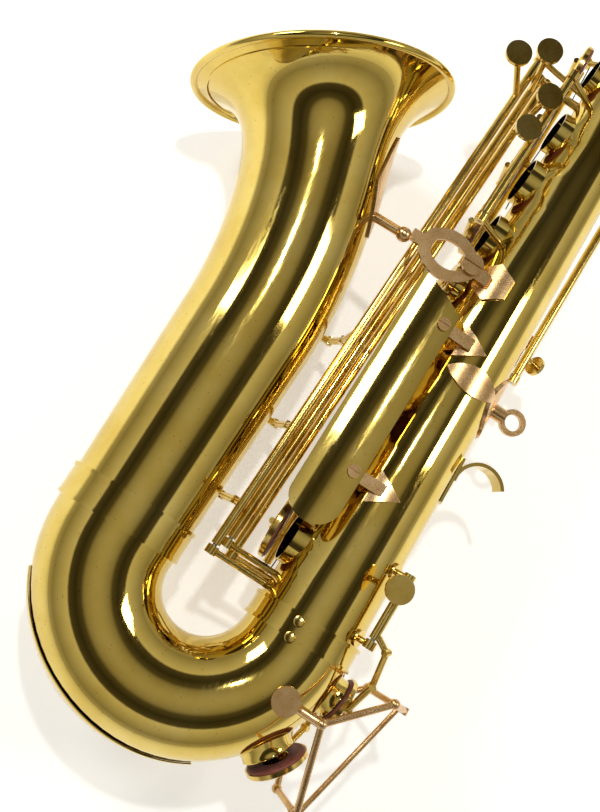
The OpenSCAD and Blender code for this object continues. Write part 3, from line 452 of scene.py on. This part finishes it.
@dataclass
class Horn:
    """The brass tubes: bow, bell, upper crook and their trim (millimetres, degrees).

    Attributes:
        layout: Driving sizes.
        strip_start: Where the bow's wear strip starts, from the body side.
        strip_end: Where it ends.
        strip_half: Half of its width round the tube, at its widest.
        flare: Length of bell that gets close rings.
        first_turn: Radius of the crook's upper bend.
        second_turn: Radius of its lower bend.
        leg: Length of its straight legs.
        crook_end: Radius at the crook's far end.
    """

    layout: Layout
    strip_start: float = 62.0
    strip_end: float = 156.0
    strip_half: float = 24.0
    flare: float = 90.0
    first_turn: float = 34.0
    second_turn: float = 26.0
    leg: float = 120.0
    crook_end: float = 12.5

    def cut(self, piece: bpy.types.Object, holes: Iterable[tuple[Matrix, float, float]]) -> None:
        """Bore holes through a piece.

        Args:
            piece: The piece to bore.
            holes: For each hole its frame, its radius and its depth in millimetres.
        """
        bm = bmesh.new()
        for place, r, depth in holes:
            bmesh.ops.create_cone(bm, cap_ends=True, segments=64, radius1=r * MM, radius2=r * MM, depth=depth * MM,
                                  matrix=place)
        mesh = bpy.data.meshes.new("cutter")
        bm.to_mesh(mesh)
        bm.free()
        cutter = bpy.data.objects.new("cutter", mesh)
        bpy.context.scene.collection.objects.link(cutter)
        bore = piece.modifiers.new("bore", "BOOLEAN")
        bore.operation = "DIFFERENCE"
        bore.solver = "EXACT"
        bore.object = cutter
        shape = bpy.data.meshes.new_from_object(piece.evaluated_get(bpy.context.evaluated_depsgraph_get()))
        piece.modifiers.clear()
        old = piece.data
        piece.data = shape
        bpy.data.meshes.remove(old)
        bpy.data.objects.remove(cutter)
        bpy.data.meshes.remove(mesh)

    def chimneys(self, bm: bmesh.types.BMesh, places: Sequence[tuple[Matrix, float, float]]) -> None:
        """Add drawn chimneys with a rolled lip.

        Args:
            bm: The bmesh to add to.
            places: For each chimney its frame, with +Z outwards from the tube's axis, the tube's
                radius there and the hole's radius.
        """
        top = self.layout.side_chimney
        for place, base, r in places:
            outline = [(r + 3.4, base - 6), (r + 1.9, base - 1.5), (r + 1.1, base + 1), (r + 1, base + top - 1),
                       (r + 1.25, base + top - 0.45), (r + 1, base + top), (r, base + top), (r, base - 6)]
            lathe(bm, outline, place, 64)

    def bow(self) -> None:
        """Build the bow with its two chimneys, and the ridged wear strip."""
        lay = self.layout
        bm = bmesh.new()
        sweep(bm, [lay.bow(phi) for phi in range(0, 181, 5)])
        piece = finish_piece("bow_tube", bm, LACQUER, "body")
        places = []
        for phi, cup in ((8.0, 17.0), (36.0, 20.0)):
            st = lay.bow(phi)
            a = math.radians(phi)
            out = Vector((math.cos(a), 0, -math.sin(a)))
            places.append((facing(at(*st.centre), out), st.radius, cup - 4.5))
        self.cut(piece, [(p @ Matrix.Translation((0, 0, base * MM)), r, 40) for p, base, r in places])
        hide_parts("bow")
        bm = bmesh.new()
        self.chimneys(bm, places)
        finish_piece("bow_chimneys", bm, LACQUER, "body")
        self.wear_strip()

    def wear_strip(self) -> None:
        """Build the pointed strip round the outside of the bow, with raised edges and a middle ridge."""
        lay = self.layout
        start, end, steps, across = self.strip_start, self.strip_end, 60, 24
        bm = bmesh.new()
        bmesh.ops.create_grid(bm, x_segments=steps, y_segments=across, size=1.0)
        for v in bm.verts:
            f, g = (v.co.x + 1) / 2, v.co.y
            phi = start + (end - start) * f
            half = self.strip_half * (0.35 + 0.65 * math.sin(math.pi * f))
            a, out = math.radians(half * g), math.radians(phi)
            rise = 0.75 + 0.45 * math.exp(-((abs(g) - 0.88) / 0.07) ** 2) + 0.5 * math.exp(-(g / 0.09) ** 2)
            st = lay.bow(phi)
            n = Vector((math.cos(out), 0, -math.sin(out))) * math.cos(a) + Vector((0, math.sin(a), 0))
            v.co = at(*st.centre) + n * (st.radius + rise) * MM
        bmesh.ops.solidify(bm, geom=bm.faces[:], thickness=0.0006)
        piece = finish_piece("bow_wear_strip", bm, LACQUER, "body")
        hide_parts("bow_guard")

    def bell(self) -> None:
        """Build the bell with its rolled rim and its three chimneys."""
        lay = self.layout
        bm = bmesh.new()
        flare_start = lay.bell_len - self.flare
        steps = ([s * flare_start / 40 for s in range(40)]
                 + [flare_start + self.flare * f / 45 for f in range(46)])
        sweep(bm, [lay.bell(s) for s in steps], sides=128)
        piece = finish_piece("bell_tube", bm, LACQUER, "body")
        places = []
        for s, cup in ((58.0, 19.0), (118.0, 23.0), (186.0, 25.0)):
            st = lay.bell(s)
            places.append((facing(at(*st.centre), Vector((0, 1, 0))), st.radius, cup - 4.5))
        self.cut(piece, [(p @ Matrix.Translation((0, 0, base * MM)), r, 40) for p, base, r in places])
        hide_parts("bell")
        bm = bmesh.new()
        self.chimneys(bm, places)
        last = lay.bell(lay.bell_len)
        rim = Matrix.Translation(at(*last.centre)) @ Matrix.Rotation(math.radians(last.lean), 4, "Y")
        wire = [(lay.bell_rim + lay.rim_wire * math.cos(math.radians(t)), lay.rim_wire * math.sin(math.radians(t)))
                for t in range(0, 361, 20)]
        lathe(bm, wire, rim, 160)
        # A thin bead where the rim's wire is rolled in.
        inner = lay.bell(lay.bell_len - 4)
        lathe(bm, [(inner.radius - 0.2, -4.4), (inner.radius + 0.7, -3.9), (inner.radius + 0.3, -3.2)], rim, 160)
        finish_piece("bell_rim_and_chimneys", bm, LACQUER, "body")

    def crook(self) -> None:
        """Build the curled upper crook."""
        lay = self.layout
        r1, r2, drop, rise = self.first_turn, self.second_turn, self.leg, self.leg
        total = math.pi * (r1 + r2) + drop + rise

        def radius(s: float) -> float:
            """Return the radius at a distance along the crook."""
            return lay.body_top - (lay.body_top - self.crook_end) * s / total

        stations = []
        for i in range(37):
            a = math.radians(5 * i)
            stations.append(Station((-r1 + r1 * math.cos(a), 0, lay.body_len + r1 * math.sin(a)), -5 * i,
                                    radius(r1 * a)))
        base = lay.body_len - drop
        for i in range(37):
            a = math.radians(5 * i)
            stations.append(Station((-2 * r1 - r2 + r2 * math.cos(a), 0, base - r2 * math.sin(a)),
                                    -180 + 5 * i, radius(math.pi * r1 + drop + r2 * a)))
        stations.append(Station((-2 * (r1 + r2), 0, base + rise), 0, self.crook_end))
        bm = bmesh.new()
        sweep(bm, stations, sides=64)
        piece = finish_piece("upper_crook_tube", bm, LACQUER, "body")
        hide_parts("upper_crook")


@dataclass
class Cup:
    """A key cup with its pad: the pad's face lies at the hole, and the cup is drawn turned open.

    Attributes:
        name: The key's body and CAD node stem.
        centre: Middle of the tone hole's lip in body millimetres.
        out: Unit direction out of the hole.
        cup_r: Radius of the cup.
        hinge: A point on the hinge, in body millimetres.
        axis: Direction of the hinge.
        turn: Degrees it is drawn open about the hinge.
    """

    name: str
    centre: Vector
    out: Vector
    cup_r: float
    hinge: Vector
    axis: Vector
    turn: float

    def place(self) -> Matrix:
        """Return the matrix with +Z out of the hole at the lip, turned open about the hinge."""
        pivot = at(*self.hinge)
        turned = (Matrix.Translation(pivot) @ Matrix.Rotation(math.radians(self.turn), 4, self.axis)
                  @ Matrix.Translation(-pivot))
        return turned @ facing(at(*self.centre), self.out)


@dataclass
class Pads:
    """Leather pads with their spun metal resonators, one for each cup.

    Attributes:
        layout: Driving sizes (millimetres).
        skirt: How much smaller a pad's radius is than its cup's.
        lip: How much smaller a tone hole's radius is than its cup's.
    """

    layout: Layout
    skirt: float = 1.15
    lip: float = 4.5

    def stack(self) -> list[Cup]:
        """List the cups on the body, which face the bell."""
        lay = self.layout
        rows = (("low_d", 57.0, 22.0), ("e", 106.0, 21.5), ("f", 155.0, 21.0), ("f_sharp", 203.0, 20.5),
                ("g_sharp", 252.0, 14.0), ("g", 293.5, 19.5), ("a", 340.0, 20.0), ("b", 382.0, 18.5),
                ("c", 432.0, 16.0))
        cups = []
        for name, z, r in rows:
            hinge = Vector((-37, 30, z)) if z < 230 else Vector((-31, 27, z))
            turn = 0.0 if name == "g_sharp" else -lay.stack_open
            cups.append(Cup(name, Vector((-lay.body_r(z) - lay.chimney, 0, z)), Vector((-1, 0, 0)), r, hinge,
                            Vector((0, 0, 1)), turn))
        return cups

    def bell_keys(self) -> list[Cup]:
        """List the cups on the far side of the bell."""
        lay = self.layout
        rows = (("low_cs", 58.0, 19.0, (-62.0, 4.0, 30.4), (-51.0, 4.0, 404.9), 0.0),
                ("low_b", 118.0, 23.0, (-69.0, -4.0, 34.8), (-58.0, -4.0, 400.6), -lay.bell_open),
                ("low_bb", 186.0, 25.0, (-76.0, -12.0, 26.0), (-65.0, -12.0, 409.2), -lay.bell_open))
        cups = []
        for name, s, r, low, high, turn in rows:
            st = lay.bell(s)
            lip = Vector(st.centre) + Vector((0, st.radius + lay.side_chimney, 0))
            cups.append(Cup(name, lip, Vector((0, 1, 0)), r, Vector(low), (Vector(high) - Vector(low)).normalized(),
                            turn))
        return cups

    def bow_keys(self) -> list[Cup]:
        """List the cups on the bow."""
        lay = self.layout
        cups = []
        for name, phi, r, hinge, turn in (("low_eb", 8.0, 17.0, (34.0, -28.0, 28.0), 0.0),
                                          ("low_c", 36.0, 20.0, (34.0, 28.0, 28.0), lay.small_open)):
            st, a = lay.bow(phi), math.radians(phi)
            out = Vector((math.cos(a), 0, -math.sin(a)))
            cups.append(Cup(name, Vector(st.centre) + out * (st.radius + lay.side_chimney), out, r, Vector(hinge),
                            Vector((0, 0, 1)), turn))
        return cups

    def pad(self, cup: Cup) -> None:
        """Build a pad's skin, dished by the hole, and the resonator riveted in it.

        Args:
            cup: The cup that holds the pad.
        """
        r, gap, t = cup.cup_r - self.skirt, self.layout.pad_gap, self.layout.pad_t
        hole = cup.cup_r - self.lip
        seat = [(0.02, gap + 0.3), (r * 0.45, gap + 0.3), (hole - 1.4, gap + 0.22), (hole - 0.4, gap + 0.3),
                (hole + 0.35, gap + 0.46), (hole + 1.1, gap + 0.3), (r - 1.1, gap + 0.12), (r - 0.4, gap + 0.35),
                (r - 0.08, gap + 0.9), (r, gap + 1.6), (r, gap + t - 0.3), (r - 0.4, gap + t), (0.02, gap + t)]
        bm = bmesh.new()
        lathe(bm, seat, Matrix.Identity(4), 72)
        # The skin is gathered behind the pad, which leaves slight radial folds at its edge.
        for v in bm.verts:
            away = math.hypot(v.co.x, v.co.y) / MM
            if away > r - 1.6:
                fold = 0.05 * math.sin(34 * math.atan2(v.co.y, v.co.x)) * min(1.0, (away - r + 1.6) / 1.2)
                v.co.z += fold * MM
        bmesh.ops.transform(bm, matrix=cup.place(), verts=bm.verts)
        piece = finish_piece(f"{cup.name}_leather_pad", bm, LEATHER, f"{cup.name}_key", sharp=80)
        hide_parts(f"{cup.name}_pad")
        bm = bmesh.new()
        dish = cup.cup_r * 0.42
        lathe(bm, [(0.02, gap - 0.1), (0.9, gap - 0.08), (1.3, gap + 0.2), (dish * 0.55, gap + 0.05),
                   (dish * 0.8, gap - 0.1), (dish * 0.93, gap - 0.02), (dish, gap + 0.26), (dish, gap + 0.45),
                   (0.02, gap + 0.5)], cup.place(), 48)
        finish_piece(f"{cup.name}_resonator", bm, KEY_BRASS, f"{cup.name}_key")

    def build(self) -> None:
        """Build every pad."""
        for cup in self.stack() + self.bell_keys() + self.bow_keys():
            self.pad(cup)
            log.info("pad of %s", cup.name)


@dataclass
class Details:
    """Small parts: needle springs, screw heads, the octave pearl and felt bumpers.

    Attributes:
        layout: Driving sizes (millimetres).
        spring_reach: How far a needle spring runs along its rod.
        spring_r: Radius of a needle spring.
        pearl_r: Radius of the octave pearl.
        felt_r: Radius of a felt bumper.
    """

    layout: Layout
    spring_reach: float = 34.0
    spring_r: float = 0.45
    pearl_r: float = 6.8
    felt_r: float = 4.5

    def disc(self, name: str, body: str, centre: Vector, out: Vector, r: float, look: Finish,
             height: float = 1.2) -> None:
        """Build a domed disc, such as a pearl, in body millimetres.

        Args:
            name: The piece's name.
            body: The body that it rides on.
            centre: Middle of its base.
            out: The way it faces.
            r: Its radius.
            look: Its finish.
            height: How far it stands up.
        """
        bm = bmesh.new()
        lathe(bm, [(r, -0.3), (r, height * 0.35), (r * 0.94, height * 0.62), (r * 0.75, height * 0.86),
                   (r * 0.4, height), (0.02, height)], facing(at(*centre), out), 48)
        finish_piece(name, bm, look, body)

    def springs(self) -> None:
        """Build the needle springs that run from the posts to the key rods."""
        bm = bmesh.new()
        for x, y, posts in ((-37.0, 30.0, (27.0, 130.5, 230.5)), (-31.0, 27.0, (241.5, 364.0, 455.0))):
            for z in posts:
                for way in (-1, 1):
                    if not 20 < z + way * self.spring_reach < 470:
                        continue
                    start = at(x + 3.9, y + 0.5, z)
                    bar(bm, start, at(x + 6.2, y + 2.6, z + way * self.spring_reach),
                        self.spring_r, 8)
        finish_piece("needle_springs", bm, SPRING, "body")

    def adjusting_screws(self) -> None:
        """Build two plain round screw heads beside the body's ferrule."""
        for i, z in enumerate((13.0, 2.5)):
            bm = bmesh.new()
            place = facing(at(-12.0, -self.layout.body_r(z) - 1.2, z), Vector((-0.33, -1, 0)))
            lathe(bm, [(3.3, 0.0), (3.3, 1.2), (3.1, 1.6), (2.6, 1.8), (0.02, 1.9)], place, 36)
            finish_piece(f"adjusting_screw_{i + 1}", bm, KEY_BRASS, "body")

    def pearls(self) -> None:
        """Build the inlaid pearl of the octave lever."""
        self.disc("octave_pearl", "octave_lever", Vector((41.5, 6, 478)), Vector((1, 0, 0)), self.pearl_r,
                  PEARL, 0.9)

    def bumpers(self) -> None:
        """Build the red felt bumpers that stand on the two cups, under the bow guard."""
        for name, phi in (("eb", 8.0), ("c", 36.0)):
            st, a = self.layout.bow(phi), math.radians(phi)
            out = Vector((math.cos(a), 0, -math.sin(a)))
            place = Vector(st.centre) + out * (st.radius + self.layout.side_chimney + 8.2)
            self.disc(f"{name}_felt_bumper", f"low_{name}_key", place, out, self.felt_r, FELT, 2.6)

    def build(self) -> None:
        """Build every detail."""
        self.springs()
        self.adjusting_screws()
        self.pearls()
        self.bumpers()
        log.info("details built")


@dataclass
class Studio:
    """Floor behind the instrument, soft lamps, and the camera.

    Attributes:
        aim: Point that the camera faces, in body millimetres.
        away: Distance from it in metres.
        lens: Focal length in millimetres, on a sensor 36 mm high.
        tilt: Degrees that the view tilts up.
        pan: Degrees that it turns right.
        roll: Degrees that the instrument leans in the frame.
    """

    aim: tuple[float, float, float] = (-76, 0, 128)
    away: float = 0.717
    lens: float = 50.2
    tilt: float = 5.73
    pan: float = 10.5
    roll: float = 33.3

    def stage(self) -> None:
        """Build the white sheet that the instrument lies on, behind it."""
        bm = bmesh.new()
        bmesh.ops.create_grid(bm, x_segments=1, y_segments=1, size=4.0)
        bmesh.ops.rotate(bm, verts=bm.verts, cent=(0, 0, 0), matrix=Matrix.Rotation(math.radians(90), 3, "X"))
        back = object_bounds()[1][1] + 0.004
        bmesh.ops.translate(bm, verts=bm.verts, vec=(0, back, 0))
        mesh = bpy.data.meshes.new("white_sheet")
        bm.to_mesh(mesh)
        bm.free()
        sheet = bpy.data.objects.new("white_sheet", mesh)
        bpy.context.scene.collection.objects.link(sheet)
        mat = bpy.data.materials.new("matt_white_paper")
        mat.use_nodes = True
        tree = mat.node_tree
        tree.nodes.clear()
        # Matt white paper: it scatters light evenly, and seen from behind it is left out.
        paper = add_node(tree, "ShaderNodeBsdfDiffuse", {"Color": linear("#FAFAF8")})
        seen = add_node(tree, "ShaderNodeLightPath")
        direct = add_node(tree, "ShaderNodeMath", {0: seen.outputs["Is Camera Ray"], 1: seen.outputs["Is Glossy Ray"]},
                          operation="MAXIMUM")
        level = add_node(tree, "ShaderNodeMath", {0: direct.outputs[0], 1: 0.42}, operation="MULTIPLY")
        glow = add_node(tree, "ShaderNodeEmission", {"Color": linear("#FFFFFF"), "Strength": level.outputs[0]})
        both = add_node(tree, "ShaderNodeAddShader", {0: paper.outputs[0], 1: glow.outputs[0]})
        clear = add_node(tree, "ShaderNodeBsdfTransparent")
        side = add_node(tree, "ShaderNodeNewGeometry")
        pick = add_node(tree, "ShaderNodeMixShader", {0: side.outputs["Backfacing"], 1: both.outputs[0],
                                                      2: clear.outputs[0]})
        add_node(tree, "ShaderNodeOutputMaterial", {"Surface": pick.outputs[0]})
        mesh.materials.append(mat)
        sheet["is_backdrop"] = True

    def lamp(self, name: str, place: Vector, aim: Vector, size: float, power: float, tint: str = "#FFFFFF") -> None:
        """Add a square area lamp.

        Args:
            name: Its name.
            place: Where it stands, in metres.
            aim: The point that it faces.
            size: Side in metres.
            power: Watts.
            tint: sRGB hex colour.
        """
        data = bpy.data.lights.new(name, "AREA")
        data.size = size
        data.energy = power
        data.color = linear(tint)[:3]
        lamp = bpy.data.objects.new(name, data)
        lamp.matrix_world = Matrix.Translation(place) @ (aim - place).to_track_quat("-Z", "Y").to_matrix().to_4x4()
        bpy.context.scene.collection.objects.link(lamp)

    def light(self) -> None:
        """Set the world and the lamps."""
        world = bpy.data.worlds.new("soft_room")
        bpy.context.scene.world = world
        world.use_nodes = True
        tree = world.node_tree
        tree.nodes.clear()
        path = add_node(tree, "ShaderNodeLightPath")
        way = add_node(tree, "ShaderNodeTexCoord").outputs["Generated"]
        where = add_node(tree, "ShaderNodeSeparateXYZ", {"Vector": way})
        depth = add_node(tree, "ShaderNodeMapRange", {"Value": where.outputs["Y"], "From Min": -1.0, "From Max": 1.0})
        # Dim on the camera's side, as in a room lit from the edges, and pale toward the sheet.
        tone = ramp(tree, depth.outputs["Result"], (
            (0.0, "#C9C3B4"), (1.0, "#F4F2EE"), (0.035, "#A39D8D"), (0.055, "#5C5748"), (0.10, "#3E3A2E"),
            (0.17, "#575246"), (0.19, "#EAE6DC"), (0.42, "#A8A294"), (0.6, "#EDE9E0")))
        room = add_node(tree, "ShaderNodeBackground", {"Color": tone, "Strength": 0.8})
        white = add_node(tree, "ShaderNodeBackground", {"Color": linear("#FFFFFF"), "Strength": 1.0})
        pick = add_node(tree, "ShaderNodeMixShader", {0: path.outputs["Is Camera Ray"], 1: room.outputs[0],
                                                      2: white.outputs[0]})
        add_node(tree, "ShaderNodeOutputWorld", {"Surface": pick.outputs[0]})
        heart = at(*self.aim)
        self.lamp("window", heart + Vector((-1.2, -0.9, 0.5)), heart, 0.45, 8)
        self.lamp("ceiling", heart + Vector((0.9, -1.0, 0.5)), heart, 0.35, 5, "#FFF8EC")
        self.lamp("spot", heart + Vector((-0.25, -1.3, 0.35)), heart, 0.05, 5)

    def camera(self) -> None:
        """Set the camera that looks at the instrument's left side, with the body leaning in the frame."""
        target = at(*self.aim)
        tilt, pan, roll = math.radians(self.tilt), math.radians(self.pan), math.radians(self.roll)
        x, y, z = Vector((1, 0, 0)), Vector((0, 1, 0)), Vector((0, 0, 1))
        up = z * math.cos(roll) - x * math.sin(roll)
        right = x * math.cos(roll) + z * math.sin(roll)
        view = y * math.cos(tilt) + up * math.sin(tilt)
        up = up * math.cos(tilt) - y * math.sin(tilt)
        view, right = view * math.cos(pan) + right * math.sin(pan), right * math.cos(pan) - view * math.sin(pan)
        turn = Matrix((right, up, -view)).transposed().to_4x4()
        data = bpy.data.cameras.new("camera")
        data.sensor_fit = "VERTICAL"
        data.sensor_height = 36.0
        data.lens = self.lens
        data.clip_start = 0.01
        cam = bpy.data.objects.new("camera", data)
        cam.matrix_world = Matrix.Translation(target - view * self.away) @ turn
        bpy.context.scene.collection.objects.link(cam)
        bpy.context.scene.camera = cam


# Nodes that keep their CAD shape, by finish.
WORN_NODES = ("bell_brace", "brace_screw", "cover_feet", "bow_key_guard", "strap_ring_bridge")
CARRIED: dict[str, Finish] = {name: WORN for name in WORN_NODES} | {
    "ferrules": LACQUER, "hinge_rods": STEEL}


def dress_frame(frame: dict) -> None:
    """Give each carried-over CAD node its finish.
    """
    by_slot = {slot.value: look for slot, look in LOOKS.items()}
    slots = {row["node"]: row["material_slot"] for row in frame["record"]["subparts"]}
    for name, piece in frame["nodes"].items():
        for i, place in enumerate(piece.material_slots):
            look = CARRIED.get(name) or by_slot[slots.get(name, Slot.KEY.value)]
            piece.material_slots[i].material = look.material()
        log.info("dressed %s", name)


def main() -> None:
    """Build the instrument's looks over its frame."""
    logging.basicConfig(level=logging.INFO, format="%(message)s")
    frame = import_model()
    studio = Studio()
    studio.camera()
    dress_frame(frame)
    horn = Horn(LAYOUT)
    horn.bow()
    horn.bell()
    horn.crook()
    Pads(LAYOUT).build()
    Details(LAYOUT).build()
    studio.stage()
    studio.light()
    bpy.context.scene.view_settings.view_transform = "Standard"


if __name__ == "__main__":
    main()
